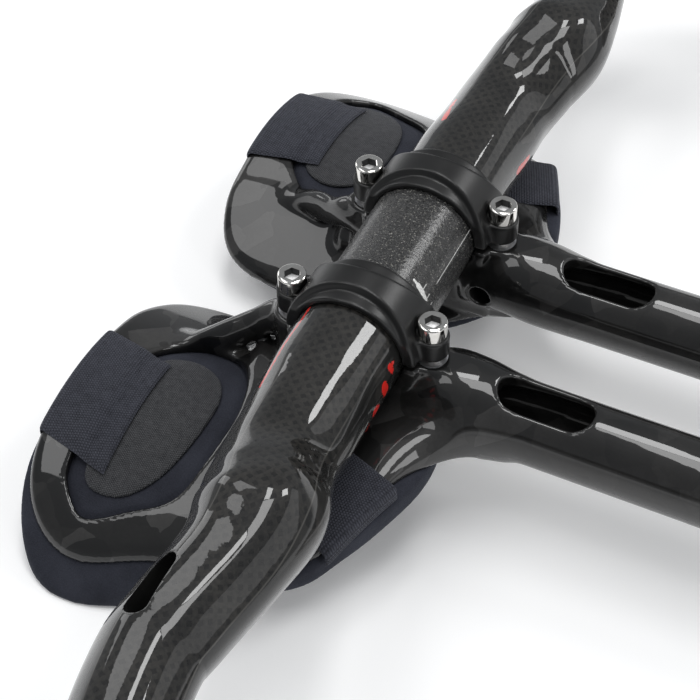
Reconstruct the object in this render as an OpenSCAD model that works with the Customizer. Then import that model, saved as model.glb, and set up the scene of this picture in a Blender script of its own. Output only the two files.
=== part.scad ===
// Aero base bar with two bolted-on arm-rest extensions, lying upside down on its arm pads.
// X runs forward along the extensions, Y along the bar, Z up. The origin is the middle of the clamp zone.
// Seen the right way up, the rider's left is on the minus Y side.

/* [Base bar] */
// Diameter of the round clamp zone
clamp_d = 31.8; // [30:0.2:33]
// Overall width over the outside of the grips
bar_width = 420; // [400:2:440]
// Half length of the round clamp zone
clamp_half = 46; // [44:1:50]
// Wall thickness of the carbon bar
bar_wall = 2.4; // [1.8:0.2:3]
// How far the wings jog forward at the elbows
elbow_forward = 8; // [4:0.5:11]
// How far the wings jog away from the pads at the elbows
elbow_rise = 11; // [8:0.5:14]
// Front-to-back size of the wings
wing_depth = 30; // [28:0.5:32]
// Height of the wings
wing_height = 25; // [23:0.5:27]
// Outer diameter of the grips
grip_d = 23.8; // [22.2:0.2:24.2]
// How far the grips reach forward of the clamp zone
horn_reach = 112; // [90:1:130]
// How much of the bar's width the bend into each horn takes
horn_bend = 52; // [46:1:58]
// Depth of the round bore at each open end of the horns and extensions
plug_depth = 32; // [28:1:36]
// How much wider than the moulded bore each plug bore is reamed, on the radius
plug_ream = 0.2; // [0.15:0.05:0.3]
// Length of each cable port in the wings
wing_port_l = 20; // [16:1:22]
// Width of each cable port in the wings
wing_port_w = 8; // [6:0.5:9]

/* [Extensions] */
// Distance between the centre lines of the two extensions
ext_spacing = 49.6; // [47:0.2:53]
// Diameter of the extensions at their tips
ext_d = 22.2; // [21:0.1:23]
// Diameter of the extensions next to the clamp
ext_root_d = 23.2; // [22:0.2:24]
// Wall thickness of the extensions
ext_wall = 1.8; // [1.4:0.1:2.4]
// How far the extension tips reach forward of the clamp zone
ext_reach = 300; // [270:5:330]
// Depth of the extension centre lines below the clamp centre
ext_drop = 16; // [15:0.2:17]
// Length of the cable slot in each extension
slot_l = 27; // [20:1:30]
// Width of the cable slot in each extension
slot_w = 11; // [8:0.5:12]
// Distance from the clamp centre to the middle of the cable slot
slot_x = 55; // [52:1:60]
// Diameter of the round cable port beside each clamp
side_port_d = 6.5; // [5:0.5:7]
// Width of the raised rim around the side port
port_rim = 1.1; // [0.8:0.1:1.4]

/* [Arm cups] */
// Depth of the highest line of the arm cup undersides below the clamp centre
cup_drop = 21; // [20:0.2:22]
// Fall of the cup undersides from their highest line to their outer edges
cup_fall = 20; // [16:0.5:22]
// Thickness of the carbon arm cups
cup_t = 3.6; // [2.8:0.2:4]
// Distance from the clamp centre back to the rear edge of the arm cups
cup_rear = 75; // [72:1:80]
// Distance from the clamp centre to the front edge of the arm cups
cup_front = 30; // [28:1:32]
// Distance from the middle plane to the inner edge of the arm cups
cup_inner = 8; // [6:0.5:10]
// Distance from the middle plane to the outer edge of the arm cups
cup_outer = 105; // [102:1:110]

/* [Clamps] */
// Distance from the clamp centre to each bolt, measured forward and back
bolt_x = 21.3; // [20.8:0.1:22.5]
// Width of each clamp cap along the bar
cap_w = 17; // [14:0.5:18]
// Radial thickness of each clamp cap over the bar
cap_t = 3.8; // [3:0.1:4.6]
// Radius of the round ears under the bolt heads
ear_r = 5.6; // [5:0.1:6]
// Height of the ears above the clamp centre
ear_top = 7; // [6:0.5:8]
// Gap that the clamp leaves open below each cap
split_gap = 2; // [1:0.5:2.5]
// How far each crescent reaches over a cap at its top
crescent_w = 5; // [3:0.5:6]
// Thickness of the lip left under each crescent
lip_t = 1.9; // [1.4:0.1:2.4]

/* [Bolts and inserts] */
// Thread diameter of the clamp bolts
bolt_d = 5; // [4.5:0.1:5.2]
// Diameter of the bolt heads
head_d = 8.5; // [8:0.1:9]
// Height of the bolt heads
head_h = 5; // [4:0.5:6]
// Width across the flats of the hexagon sockets
socket_af = 4; // [3:0.5:4]
// Depth of the hexagon sockets
socket_depth = 2.6; // [2:0.2:3]
// Outer diameter of the threaded inserts
insert_d = 7.4; // [7:0.1:7.8]
// Length of the threaded inserts
insert_l = 12; // [10:0.5:13]
// Clearance around each bolt in its cap
bolt_clearance = 0.25; // [0.15:0.05:0.3]

/* [Arm pads and straps] */
// Thickness of the foam arm pads
pad_t = 9; // [8:0.5:11]
// How far the pads stand out past the outer edges of the cups
pad_margin = 9; // [7:0.5:10]
// Height that the foam bulges up inside the cup openings
pad_bulge = 1.6; // [1:0.2:2]
// How far the lowest edge of each pad is pressed flat on the floor
pad_press = 1; // [0.6:0.1:1.4]
// Thickness of the hook-and-loop patches
patch_t = 1.2; // [0.8:0.1:1.6]
// Thickness of the knitted straps
strap_t = 1.3; // [1:0.1:1.6]
// Width of the rear straps
rear_strap_w = 38; // [34:1:41]
// Width of the front straps
front_strap_w = 26; // [20:1:28]
// Clearance between a strap and what it lies on
strap_gap = 0.1; // [0.05:0.05:0.2]

/* [Hidden] */
$fn = 64;
clamp_r = clamp_d / 2;
ext_y = ext_spacing / 2;
grip_y = bar_width / 2 - grip_d / 2;
cup_mid = lerp(cup_inner, cup_outer, 0.485);
floor_z = -cup_drop - cup_fall - pad_t + pad_press;
tip_z = floor_z + ext_d / 2;
tip_angle = atan(0.3 * (-ext_drop - tip_z) / (0.1 * ext_reach));
form = clamp_d / 31.8;
section_n = 28;
bore_n = 14;
cap_r = clamp_r + cap_t;
insert_flange_d = insert_d + 1.6;
insert_flange_h = 1;
thread_reach = insert_l - 1;
far = 400;

// Curves and lofted solids

function lerp(a, b, t) = a + (b - a) * t;

function unit(v) = v / norm(v);

// One point of a smooth curve between b and c
function curve_point(a, b, c, d, t) =
    0.5 * (2 * b + (c - a) * t + (2 * a - 5 * b + 4 * c - d) * t * t + (3 * b - a - 3 * c + d) * t * t * t);

// A smooth closed curve through the given rows
function closed_curve(p, steps) =
    let (n = len(p))
    [for (i = [0:n - 1], k = [0:steps - 1])
        curve_point(p[(i + n - 1) % n], p[i], p[(i + 1) % n], p[(i + 2) % n], k / steps)];

// A smooth open curve through the given rows, with both ends included
function open_curve(p, steps) =
    let (n = len(p))
    concat(
        [for (i = [0:n - 2], k = [0:steps - 1])
            curve_point(p[max(i - 1, 0)], p[i], p[i + 1], p[min(i + 2, n - 1)], k / steps)],
        [p[n - 1]]);

// Direction of travel at row i of a path whose rows start with x, y, z
function heading(path, i) =
    let (a = path[max(i - 1, 0)], b = path[min(i + 1, len(path) - 1)])
    unit([b[0] - a[0], b[1] - a[1], b[2] - a[2]]);

// A solid skinned over rings of points, each ring with an even number of them
module skin(rings) {
    n = len(rings[0]);
    last = (len(rings) - 1) * n;
    sides = [for (i = [0:len(rings) - 2], j = [0:n - 1])
        let (a = i * n + j, b = i * n + (j + 1) % n)
        each [[a, b, b + n], [a, b + n, a + n]]];
    ends = [for (j = [0:n / 2 - 2])
        let (k = n - 1 - j)
        each [
            [j + 1, j, k], [j + 1, k, k - 1],
            [last + j, last + j + 1, last + k - 1], [last + j, last + k - 1, last + k]]];
    polyhedron(points = [for (ring = rings) each ring], faces = concat(sides, ends), convexity = 12);
}

// Base bar

// Facets of the wing section: the direction each one faces and its share of the half size
wing_facets = [
    [92, 1.0], [40, 0.98], [-12, 1.0], [-60, 0.98],
    [-95, 1.0], [-140, 0.98], [172, 1.0], [140, 0.94]
];

// Distance from the middle of the wing section to its rounded facets in one direction
function facet_radius(angle, half_x, half_z) =
    let (
        sum = [for (f = wing_facets)
            let (
                facing = f[0],
                reach = f[1] * sqrt(pow(half_x * cos(facing), 2) + pow(half_z * sin(facing), 2)),
                part = max(cos(angle - facing) / reach, 0))
            pow(part, 14)])
    pow(sum * [for (f = wing_facets) 1], -1 / 14);

// Rows of the bar path: x, y, z, half depth, half height, share of the faceted section
function bar_rows(trim, start_y, end_x) =
    let (
        half_x = wing_depth / 2 - trim,
        half_z = wing_height / 2 - trim,
        round_r = clamp_r - trim,
        grip_r = grip_d / 2 - trim,
        bend_y = wing_y(1))
    [
        [0, start_y, 0, round_r - 0.2, round_r - 0.2, 0],
        [0, clamp_half + 3, 0, round_r, round_r, 0.1],
        [0.05 * elbow_forward, wing_y(0.18), 0, round_r, round_r - 0.4, 0.8],
        [0.15 * elbow_forward, wing_y(0.31), 0.12 * elbow_rise, round_r, round_r - 0.8, 1],
        [0.55 * elbow_forward, wing_y(0.43), 0.55 * elbow_rise, half_x + 1.6, half_z + 3, 1],
        [1.0 * elbow_forward, wing_y(0.54), 0.95 * elbow_rise, half_x + 2.2, half_z + 2.4, 1],
        [1.05 * elbow_forward, wing_y(0.68), elbow_rise, half_x, half_z, 1],
        [0.65 * elbow_forward, wing_y(0.88), 0.95 * elbow_rise, half_x - 0.8, half_z, 1],
        [0.5 * elbow_forward, bend_y, 0.9 * elbow_rise, half_x - 1.2, half_z - 0.3, 0.9],
        [1.1 * elbow_forward, bend_y + 0.423 * horn_bend, 0.9 * elbow_rise, half_x - 1.6, half_z - 0.4, 0.7],
        [elbow_forward + 12, bend_y + 0.769 * horn_bend, 0.9 * elbow_rise, grip_r + 0.8, grip_r, 0.3],
        [elbow_forward + 34, grip_y - 2, 0.9 * elbow_rise, grip_r, grip_r, 0],
        [elbow_forward + 56, grip_y, 0.9 * elbow_rise, grip_r, grip_r, 0],
        [end_x, grip_y, 0.9 * elbow_rise, grip_r, grip_r, 0]
    ];

// Distance from the middle plane at a share of the way from the clamp zone to the bend
function wing_y(share) = lerp(clamp_half, grip_y - horn_bend, share);

function bar_ring(row, ahead, n) =
    let (side = unit(cross(ahead, [0, 0, 1])))
    [for (k = [0:n - 1])
        let (
            angle = 360 * k / n,
            round = row[3] * row[4] / sqrt(pow(row[4] * cos(angle), 2) + pow(row[3] * sin(angle), 2)),
            r = lerp(round, facet_radius(angle, row[3], row[4]), row[5]))
        [row[0], row[1], row[2]] + r * cos(angle) * side + [0, 0, r * sin(angle)]];

module bar_wing(trim, start_y, end_x, n, steps) {
    path = open_curve(bar_rows(trim, start_y, end_x), steps);
    skin([for (i = [0:len(path) - 1]) bar_ring(path[i], heading(path, i), n)]);
}

module obround(length, width) {
    square([length - width, width], center = true);
    for (end = [-1, 1])
        translate([end * (length - width) / 2, 0])
            circle(d = width);
}

module wing_port() {
    port_y = wing_y(0.87);
    port_tilt = -32;
    translate([0.65 * elbow_forward, port_y, 0.95 * elbow_rise])
        rotate([0, port_tilt, 0])
            translate([0, 0, wing_height / 4])
                linear_extrude(wing_height)
                    rotate(90)
                        obround(wing_port_l, wing_port_w);
}

module base_bar() {
    color([0.06, 0.06, 0.07])
        difference() {
            union() {
                rotate([90, 0, 0])
                    cylinder(r = clamp_r, h = 2 * clamp_half, center = true);
                for (side = [0, 1])
                    mirror([0, side, 0])
                        bar_wing(0, clamp_half - 3, horn_reach, section_n, 2);
            }
            rotate([90, 0, 0])
                cylinder(r = clamp_r - bar_wall, h = 2 * clamp_half - 8, center = true);
            for (side = [0, 1])
                mirror([0, side, 0]) {
                    bar_wing(bar_wall, clamp_half - 9, horn_reach - plug_depth + 2, bore_n, 2);
                    wing_port();
                    translate([horn_reach - plug_depth, grip_y, 0.9 * elbow_rise])
                        rotate([0, 90, 0])
                            cylinder(r = grip_d / 2 - bar_wall + plug_ream, h = 2 * plug_depth);
                }
        }
}

// Extensions with their arm cups

// A point of the arm cup, from shares of its length and its width
function cup(u, v) = [lerp(-cup_rear, cup_front, u), lerp(cup_inner, cup_outer, v)];

// Height of the underside of the arched cup at a distance from the middle plane
function arch(y) = -cup_drop - cup_fall * pow((y - cup_mid) / (cup_outer - cup_mid), 2);

// A slab that follows the arch, between two heights over it
module arch_slab(low, high) {
    steps = 24;
    from_y = lerp(cup_inner, cup_outer, -0.15);
    to_y = lerp(cup_inner, cup_outer, 1.15);
    ys = [for (i = [0:steps]) lerp(from_y, to_y, i / steps)];
    translate([-far / 2, 0, 0])
        rotate([90, 0, 90])
            linear_extrude(far)
                polygon(concat(
                    [for (y = ys) [y, arch(y) + low]],
                    [for (i = [steps:-1:0]) [ys[i], arch(ys[i]) + high]]));
}

// A plate with a given plan shape that follows the arch
module arched(shape, low, high) {
    intersection() {
        arch_slab(low, high);
        translate([0, 0, -far / 2])
            linear_extrude(far)
                polygon(shape);
    }
}

function plan(rows, steps) = [for (p = closed_curve(rows, steps)) cup(p[0], p[1])];

// A closed plan shape moved outward
function grown(p, by) =
    let (n = len(p))
    [for (i = [0:n - 1])
        let (along = unit(p[(i + 1) % n] - p[(i + n - 1) % n]))
        p[i] + by * [-along[1], along[0]]];

cup_outline = [
    [0.955, 0.49], [0.935, 0.555], [0.9, 0.655], [0.86, 0.77], [0.79, 0.83], [0.69, 0.87], [0.55, 0.91],
    [0.41, 0.95], [0.27, 1.0], [0.18, 1.0], [0.1, 0.94], [0.045, 0.85], [0.025, 0.73], [0.02, 0.52],
    [0.02, 0.35], [0.01, 0.2], [0.05, 0.08], [0.13, 0.02], [0.25, 0], [0.4, 0.01], [0.62, 0.03],
    [0.78, 0.05], [0.9, 0.11], [1.04, 0.16], [1.15, 0.18], [1.16, 0.236], [1.1, 0.262], [1.055, 0.295],
    [1.015, 0.35], [0.98, 0.425]
];

cup_opening = [
    [0.115, 0.63], [0.12, 0.79], [0.145, 0.85], [0.2, 0.9], [0.25, 0.895], [0.33, 0.85], [0.43, 0.785],
    [0.465, 0.68], [0.48, 0.52], [0.465, 0.42], [0.435, 0.34], [0.385, 0.285], [0.32, 0.27],
    [0.25, 0.285], [0.17, 0.36], [0.125, 0.47]
];

// Rows of the extension body from the root: x, y, z, half width, half height
function body_rows(trim) =
    let (tip_r = ext_d / 2 - trim, root_r = ext_root_d / 2 - trim)
    [
        [62 * form, ext_y, -ext_drop, root_r, root_r],
        [0.5 * ext_reach, ext_y, -ext_drop, root_r, root_r],
        [0.64 * ext_reach, ext_y, lerp(tip_z, -ext_drop, 0.88), tip_r, tip_r],
        [0.78 * ext_reach, ext_y, lerp(tip_z, -ext_drop, 0.64), tip_r, tip_r],
        tip_row(0.1 * ext_reach, tip_r)
    ];

// A row on the straight end of the tube, some way back from its tip
function tip_row(back, r) = [ext_reach - back, ext_y, tip_z + back * tan(tip_angle), r, r];

// Rows that hold offsets from a point on the tube's axis, sized for a 31.8 mm clamp
function placed(rows, from_x) = [for (r = rows)
    [from_x + form * r[0], ext_y + form * r[1], -ext_drop + form * r[2], form * r[3], form * r[4]]];

module body_skin(rows, n, steps) {
    path = open_curve(rows, steps);
    skin([for (i = [0:len(path) - 1])
        let (ahead = heading(path, i), side = unit(cross(ahead, [0, 0, 1])), up = cross(side, ahead))
        [for (k = [0:n - 1])
            let (angle = 360 * k / n)
            [path[i][0], path[i][1], path[i][2]]
                + path[i][3] * cos(angle) * side + path[i][4] * sin(angle) * up]]);
}

module extension_tube() {
    root_r = ext_root_d / 2;
    body_skin(concat(
        [
            [12 * form, ext_y, -ext_drop - 2 * form, 0.871 * root_r, 0.828 * root_r],
            [25 * form, ext_y, -ext_drop + 1.7 * form, 1.034 * root_r, 1.052 * root_r],
            [35 * form, ext_y, -ext_drop + 1.3 * form, 1.086 * root_r, 1.095 * root_r],
            [46 * form, ext_y, -ext_drop + 0.2 * form, 1.026 * root_r, 1.026 * root_r]
        ],
        body_rows(0),
        [tip_row(0, ext_d / 2)]
    ), section_n, 2);
}

module extension_bore() {
    plug_r = ext_d / 2 - ext_wall + plug_ream;
    start_r = ext_root_d / 2 - ext_wall - 2 * form;
    body_skin(concat([[36 * form, ext_y, -ext_drop, start_r, start_r]], body_rows(ext_wall)), bore_n, 2);
    translate([ext_reach, ext_y, tip_z])
        rotate([0, 90 + tip_angle, 0])
            translate([0, 0, -max(plug_depth, 0.11 * ext_reach)])
                cylinder(r = plug_r, h = far);
}

// Swelling that blends the tube and the saddle into the cup
module shoulder() {
    body_skin(placed([
        [-32, 4, -6, 7, 4.5],
        [-18, 11, -6.5, 13, 5.6],
        [2, 15, -6.5, 16, 5.6],
        [20, 15, -5.5, 15, 7.5],
        [29, 11, -4, 11, 8],
        [38, 7, -2, 7, 8],
        [50, 5, -1, 4, 6]
    ], 0), bore_n, 2);
}

module saddle() {
    seat_wall = 4.2 * form;
    boss_r = insert_flange_d / 2 + 1.4 * form;
    translate([0, ext_y, 0]) {
        rotate([90, 0, 0])
            cylinder(r = clamp_r + seat_wall, h = cap_w, center = true);
        for (end = [-1, 1])
            translate([end * bolt_x, 0, arch(ext_y)])
                cylinder(r = boss_r, h = -arch(ext_y) - split_gap);
        translate([-bolt_x, -cap_w / 2, arch(ext_y)])
            cube([2 * bolt_x, cap_w, -arch(ext_y) - clamp_r + 3 * form]);
    }
}

// Ridge that runs from the saddle onto the rear of the cup
module spar() {
    body_skin(placed([
        [-31, 11.5, -7, 6, 2.6],
        [-25, 8, -3.8, 4.2, 4],
        [-19, 4.5, -1, 3.5, 5.1],
        [-12, 0.5, 3, 3.6, 4.8],
        [-4, -1.5, 7.2, 4.8, 6],
        [5, -1, 6.5, 6.5, 7]
    ], -bolt_x), bore_n, 2);
}

// A cylinder from the tube's axis toward the middle plane, where the side port is
module port_shaft(d, from_y, h) {
    translate([bolt_x - 1.5 * form, from_y, -ext_drop])
        rotate([90, 0, 0])
            cylinder(d = d, h = h);
}

module extension_body() {
    extension_tube();
    port_shaft(side_port_d + 2 * port_rim, ext_y, ext_root_d / 2 + 0.5 * form);
    shoulder();
    spar();
    saddle();
    arched(plan(cup_outline, 2), 0, cup_t);
}

module extension() {
    color([0.08, 0.08, 0.09])
        difference() {
            extension_body();
            translate([0, ext_y, 0])
                rotate([90, 0, 0])
                    cylinder(r = clamp_r, h = far, center = true);
            translate([-far / 2, -far / 2, -split_gap])
                cube([far, far, far]);
            intersection() {
                arch_slab(-far, 0);
                translate([-far, -far / 2, -far / 2])
                    cube([far + cup_front + 10, far, far]);
            }
            translate([0, 0, -far])
                linear_extrude(2 * far)
                    polygon(plan(cup_opening, 2));
            for (end = [-1, 1])
                translate([end * bolt_x, ext_y, 0]) {
                    translate([0, 0, -split_gap - insert_l])
                        cylinder(d = insert_d, h = far);
                    translate([0, 0, -split_gap - insert_flange_h])
                        cylinder(d = insert_flange_d, h = far);
                }
            extension_bore();
            translate([slot_x, ext_y, -ext_drop])
                linear_extrude(far)
                    obround(slot_l, slot_w);
            port_shaft(side_port_d, ext_y - insert_flange_d / 2 - 0.5 * form, far);
        }
}

// Clamp caps

module clamp_cap() {
    translate([0, ext_y, 0])
        color([0.1, 0.1, 0.11])
            difference() {
                union() {
                    rotate([90, 0, 0])
                        cylinder(r = cap_r, h = cap_w, center = true);
                    for (end = [-1, 1])
                        translate([end * bolt_x, 0, 0])
                            cylinder(r = ear_r, h = ear_top);
                    translate([-bolt_x, -ear_r, 0])
                        cube([2 * bolt_x, 2 * ear_r, ear_top]);
                }
                rotate([90, 0, 0])
                    cylinder(r = clamp_r, h = far, center = true);
                translate([-far / 2, -far / 2, -far])
                    cube([far, far, far]);
                for (end = [-1, 1]) {
                    translate([end * bolt_x, 0, -1])
                        cylinder(d = bolt_d + 2 * bolt_clearance, h = far);
                    translate([end * bolt_x, 0, ear_top])
                        cylinder(r = ear_r, h = far);
                    mirror([0, (1 - end) / 2, 0])
                        translate([0, cap_w / 2, 0])
                            crescent();
                }
            }
}

// Slanting cut over a cap's edge that leaves a thin lip, widest at the top
module crescent() {
    from_z = ear_top + 0.5 * form;
    rise = cap_r - from_z;
    difference() {
        translate([-far / 2, 0, from_z])
            rotate([90, 0, 90])
                linear_extrude(far)
                    polygon([[0, 0], [cap_w, 0], [cap_w, 2 * rise], [-2 * crescent_w, 2 * rise]]);
        rotate([90, 0, 0])
            cylinder(r = clamp_r + lip_t, h = far, center = true);
    }
}

// Bolts and threaded inserts

module bolt() {
    edge = 0.5;
    socket_r = socket_af / 2 / cos(30);
    color([0.75, 0.76, 0.78])
        difference() {
            translate([0, 0, ear_top])
                rotate_extrude()
                    polygon([
                        [0, -ear_top - split_gap - thread_reach],
                        [bolt_d / 2 - edge, -ear_top - split_gap - thread_reach],
                        [bolt_d / 2, -ear_top - split_gap - thread_reach + edge],
                        [bolt_d / 2, 0],
                        [head_d / 2, 0],
                        [head_d / 2, head_h - edge],
                        [head_d / 2 - edge, head_h],
                        [0, head_h]
                    ]);
            translate([0, 0, ear_top + head_h - socket_depth])
                cylinder(r = socket_r, h = head_h, $fn = 6);
            translate([0, 0, ear_top + head_h - edge])
                cylinder(r1 = socket_r - edge / 2, r2 = socket_r + edge, h = edge + 0.01);
        }
}

module insert() {
    color([0.7, 0.71, 0.73])
        translate([0, 0, -split_gap])
            difference() {
                union() {
                    translate([0, 0, -insert_flange_h])
                        cylinder(d = insert_flange_d, h = insert_flange_h);
                    translate([0, 0, -insert_l])
                        cylinder(d = insert_d, h = insert_l);
                }
                translate([0, 0, -insert_l - 1])
                    cylinder(d = bolt_d, h = insert_l + 2);
            }
}

// Arm pads, patches and straps

pad_outline = [
    [1.0, 0.42], [0.978, 0.5], [0.94, 0.59], [0.895, 0.665], [0.84, 0.74], [0.76, 0.79], [0.6, 0.855],
    [0.4, 0.94], [0.24, 1.0], [0.15, 0.98], [0.07, 0.92], [0.015, 0.83], [-0.01, 0.72], [-0.006, 0.56],
    [-0.006, 0.38], [0, 0.22], [0.04, 0.11], [0.12, 0.055], [0.24, 0.03], [0.42, 0.03], [0.6, 0.035],
    [0.78, 0.07], [0.92, 0.165], [0.985, 0.25], [1.004, 0.335]
];

module arm_pad() {
    shape = [for (p = plan(pad_outline, 2)) [p[0], p[1] * (cup_outer + pad_margin) / cup_outer]];
    color([0.05, 0.055, 0.07])
        difference() {
            union() {
                arched(shape, -pad_t, 0);
                arched(grown(plan(cup_opening, 2), -0.6 * form), -pad_t / 2, pad_bulge);
            }
            translate([-far / 2, -far / 2, floor_z - far])
                cube([far, far, far]);
        }
}

patch_outline = [
    [0.17, 0.6], [0.16, 0.76], [0.19, 0.83], [0.27, 0.835], [0.33, 0.8], [0.38, 0.73], [0.41, 0.63],
    [0.42, 0.51], [0.405, 0.43], [0.36, 0.37], [0.28, 0.345], [0.2, 0.38], [0.17, 0.47]
];

module loop_patch() {
    color([0.07, 0.075, 0.09])
        arched(plan(patch_outline, 2), pad_bulge, pad_bulge + patch_t);
}

// A strap laid over the arch: the path holds distances along it and heights over the arch
module draped(path, width, at, run, lie) {
    n = len(path);
    across = 8;
    along_dir = [cos(run), sin(run)];
    across_dir = [-sin(lie), cos(lie)];
    skin([for (i = [0:n - 1])
        let (
            ahead = unit(path[min(i + 1, n - 1)] - path[max(i - 1, 0)]),
            faces = [path[i], path[i] + strap_t * [-ahead[1], ahead[0]]])
        concat(
            [for (k = [0:across])
                draped_point(faces[0], (k / across - 0.5) * width, at, along_dir, across_dir)],
            [for (k = [across:-1:0])
                draped_point(faces[1], (k / across - 0.5) * width, at, along_dir, across_dir)])]);
}

function draped_point(p, sideways, at, along_dir, across_dir) =
    let (q = at + p[0] * along_dir + sideways * across_dir)
    [q[0], q[1], arch(q[1]) + p[1]];

module rear_strap() {
    over = cup_t + strap_gap;
    landing = pad_bulge + patch_t + strap_gap;
    run_angle = 11;
    lie_angle = 1;
    path = open_curve([
        [1.1 * form, strap_gap],
        [1.1 * form, over - 0.8 * form],
        [1.8 * form, over],
        [4 * form, over],
        [10 * form, over],
        [15.4 * form, over],
        [18.8 * form, landing],
        [20.6 * form, landing],
        [24.5 * form, landing]
    ], 2);
    color([0.06, 0.06, 0.08])
        draped(path, rear_strap_w, cup(0, 0.55), run_angle, lie_angle);
}

module front_strap() {
    over = cup_t + strap_gap;
    run_angle = 20;
    lie_angle = 22;
    path = open_curve([
        [-26 * form, over],
        [-12 * form, over],
        [-4 * form, over],
        [-1.6 * form, over],
        [-0.8 * form, over - 0.8 * form],
        [-0.6 * form, strap_gap]
    ], 2);
    color([0.06, 0.06, 0.08])
        draped(path, front_strap_w, cup(0.925, 0.66), run_angle, lie_angle);
}

// Everything is drawn for the right side and mirrored for the left

module left_side() {
    mirror([0, 1, 0])
        children();
}

module left_extension() {
    left_side()
        extension();
}

module right_extension() {
    extension();
}

module left_clamp_cap() {
    left_side()
        clamp_cap();
}

module right_clamp_cap() {
    clamp_cap();
}

module left_front_bolt() {
    translate([bolt_x, -ext_y, 0])
        bolt();
}

module left_rear_bolt() {
    translate([-bolt_x, -ext_y, 0])
        bolt();
}

module right_front_bolt() {
    translate([bolt_x, ext_y, 0])
        bolt();
}

module right_rear_bolt() {
    translate([-bolt_x, ext_y, 0])
        bolt();
}

module left_front_insert() {
    translate([bolt_x, -ext_y, 0])
        insert();
}

module left_rear_insert() {
    translate([-bolt_x, -ext_y, 0])
        insert();
}

module right_front_insert() {
    translate([bolt_x, ext_y, 0])
        insert();
}

module right_rear_insert() {
    translate([-bolt_x, ext_y, 0])
        insert();
}

module left_arm_pad() {
    left_side()
        arm_pad();
}

module right_arm_pad() {
    arm_pad();
}

module left_loop_patch() {
    left_side()
        loop_patch();
}

module right_loop_patch() {
    loop_patch();
}

module left_rear_strap() {
    left_side()
        rear_strap();
}

module right_rear_strap() {
    rear_strap();
}

module left_front_strap() {
    left_side()
        front_strap();
}

module right_front_strap() {
    front_strap();
}

base_bar();
left_extension();
right_extension();
left_clamp_cap();
right_clamp_cap();
left_front_bolt();
left_rear_bolt();
right_front_bolt();
right_rear_bolt();
left_front_insert();
left_rear_insert();
right_front_insert();
right_rear_insert();
left_arm_pad();
right_arm_pad();
left_loop_patch();
right_loop_patch();
left_rear_strap();
right_rear_strap();
left_front_strap();
right_front_strap();
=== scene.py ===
import math

import bpy
import numpy as np
from mathutils import Matrix
from mathutils.kdtree import KDTree


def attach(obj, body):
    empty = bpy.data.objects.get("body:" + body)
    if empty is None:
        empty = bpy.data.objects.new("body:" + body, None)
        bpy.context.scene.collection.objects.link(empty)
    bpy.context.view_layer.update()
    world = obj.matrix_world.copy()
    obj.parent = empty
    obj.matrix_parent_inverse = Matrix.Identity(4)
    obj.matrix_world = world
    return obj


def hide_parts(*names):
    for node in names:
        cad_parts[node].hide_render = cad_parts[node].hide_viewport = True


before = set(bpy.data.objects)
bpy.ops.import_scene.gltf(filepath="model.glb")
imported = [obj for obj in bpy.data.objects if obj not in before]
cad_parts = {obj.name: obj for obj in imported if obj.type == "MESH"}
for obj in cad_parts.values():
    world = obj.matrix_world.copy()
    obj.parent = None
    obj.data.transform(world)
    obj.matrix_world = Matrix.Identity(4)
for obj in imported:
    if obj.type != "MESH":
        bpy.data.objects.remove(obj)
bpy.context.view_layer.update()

# Sizes in millimetres, as in the solids apart from EAR_R, HEAD_D, SOCKET_AF and PAD_RISE
CLAMP_R = 15.9
CLAMP_HALF = 46
BAR_WALL = 2.4
ELBOW_FORWARD = 8
ELBOW_RISE = 11
WING_DEPTH = 30
WING_HEIGHT = 25
GRIP_D = 23.8
BAR_WIDTH = 420
HORN_REACH = 112
GRIP_Y = BAR_WIDTH / 2 - GRIP_D / 2

EXT_Y = 24.8
EXT_R = 11.1
ROOT_R = 11.6
EXT_WALL = 1.8
EXT_REACH = 300
EXT_DROP = 16
TUBE_START = 100
SLOT_X = 55
SLOT_L = 27
SLOT_W = 11
PORT_D = 6.5
PORT_RIM = 1.1
PLUG_REAM = 0.2
PLUG_DEPTH = 32

CUP_DROP = 21
CUP_FALL = 20
CUP_T = 3.6
CUP_REAR = 75
CUP_FRONT = 30
CUP_INNER = 8
CUP_OUTER = 105
CUP_MID = CUP_INNER + 0.485 * (CUP_OUTER - CUP_INNER)

BOLT_X = 21.3
CAP_W = 17
CAP_R = CLAMP_R + 3.8
EAR_R = 4.8
EAR_TOP = 7
SPLIT = 2
INSERT_D = 7.4
INSERT_L = 12
FLANGE_D = 9
BOLT_D = 5
BOLT_CLEARANCE = 0.25
BOLT_PITCH = 0.8
THREAD_DEPTH = 0.45
HEAD_D = 8.2
HEAD_H = 5
SOCKET_AF = 4.2
SOCKET_DEPTH = 2.6
THREAD_REACH = INSERT_L - 1

PAD_T = 9
PAD_MARGIN = 9
PAD_GROW = (CUP_OUTER + PAD_MARGIN) / CUP_OUTER
PAD_BULGE = 1.6
PAD_RISE = 0.45
PAD_PRESS = 1
PATCH_T = 1.2
STRAP_T = 1.3
REAR_STRAP_W = 38
FRONT_STRAP_W = 26
STRAP_GAP = 0.1
FLOOR_Z = -CUP_DROP - CUP_FALL - PAD_T + PAD_PRESS
TIP_Z = FLOOR_Z + EXT_R
TIP_ANGLE = math.atan(0.3 * (-EXT_DROP - TIP_Z) / (0.1 * EXT_REACH))
CRESCENT_W = 5
LIP_T = 1.9
MM = 0.001


# Curves

def curve_point(a, b, c, d, t):
    """A point between b and c on a smooth curve that runs on from a and to d."""
    bend = 2 * a - 5 * b + 4 * c - d
    twist = 3 * b - a - 3 * c + d
    return 0.5 * (2 * b + (c - a) * t + bend * t * t + twist * t ** 3)


def open_curve(rows, steps):
    p = np.array(rows, float)
    n = len(p)
    out = [curve_point(p[max(i - 1, 0)], p[i], p[i + 1], p[min(i + 2, n - 1)], k / steps)
           for i in range(n - 1) for k in range(steps)]
    return np.array(out + [p[-1]])


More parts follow.
